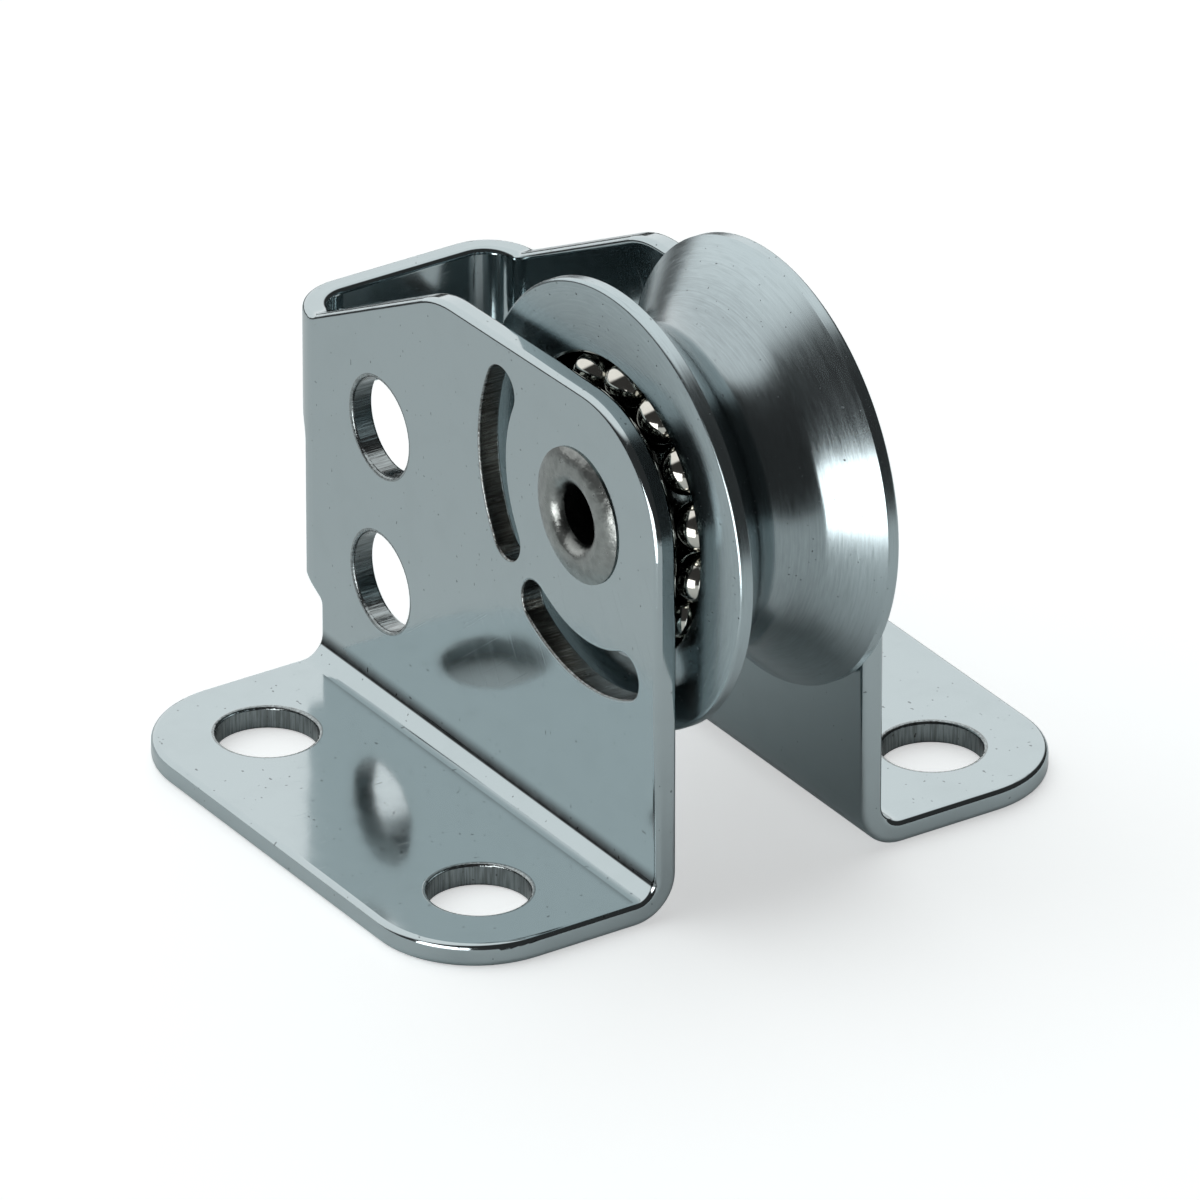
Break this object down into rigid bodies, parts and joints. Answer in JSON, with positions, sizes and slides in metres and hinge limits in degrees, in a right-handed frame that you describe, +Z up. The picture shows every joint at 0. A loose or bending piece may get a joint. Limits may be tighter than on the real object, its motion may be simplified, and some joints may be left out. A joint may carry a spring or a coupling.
{
  "type": "single pulley block",
  "caption": "Upright single deck block: bent stainless sheet frame with drilled feet, and a grooved sheave on open ball bearings round a hollow rivet.",
  "frame": {"origin": "midway between the four deck holes, on the underside of the feet", "axes": "+X towards the open side where the sheave stands out, +Y along the axle from the near cheek to the far one, +Z up from the deck"},
  "size_m": [0.0375, 0.0374, 0.0299],
  "materials": {
    "sheet_steel": "polished",
    "rivet_steel": "satin",
    "race_steel": "ground",
    "sheave_steel": "turned",
    "ball_steel": "mirror"
  },
  "bodies": {
    "root": {"frame": "sheet_steel", "axle_rivet": "rivet_steel", "near_cone": "race_steel", "far_cone": "race_steel"},
    "sheave": {"sheave": "sheave_steel"},
    "near_row": {"near_ball_01": "ball_steel", "near_ball_02": "ball_steel", "near_ball_03": "ball_steel", "near_ball_04": "ball_steel", "near_ball_05": "ball_steel", "near_ball_06": "ball_steel", "near_ball_07": "ball_steel", "near_ball_08": "ball_steel", "near_ball_09": "ball_steel", "near_ball_10": "ball_steel", "near_ball_11": "ball_steel", "near_ball_12": "ball_steel", "near_ball_13": "ball_steel", "near_ball_14": "ball_steel"},
    "far_row": {"far_ball_01": "ball_steel", "far_ball_02": "ball_steel", "far_ball_03": "ball_steel", "far_ball_04": "ball_steel", "far_ball_05": "ball_steel", "far_ball_06": "ball_steel", "far_ball_07": "ball_steel", "far_ball_08": "ball_steel", "far_ball_09": "ball_steel", "far_ball_10": "ball_steel", "far_ball_11": "ball_steel", "far_ball_12": "ball_steel", "far_ball_13": "ball_steel", "far_ball_14": "ball_steel"}
  },
  "joints": [
    {"name": "sheave_spin", "type": "hinge", "parent": "root", "child": "sheave", "pos_m": [0.0081, 0, 0.0188], "axis": [0, 1, 0], "continuous": true},
    {"name": "near_row_orbit", "type": "hinge", "parent": "root", "child": "near_row", "pos_m": [0.0081, 0, 0.0188], "axis": [0, 1, 0], "continuous": true},
    {"name": "far_row_orbit", "type": "hinge", "parent": "root", "child": "far_row", "pos_m": [0.0081, 0, 0.0188], "axis": [0, 1, 0], "continuous": true}
  ],
  "couplings": [
    {"joint": "near_row_orbit", "follows": "sheave_spin", "ratio": 0.5713},
    {"joint": "far_row_orbit", "follows": "sheave_spin", "ratio": 0.5713}
  ]
}
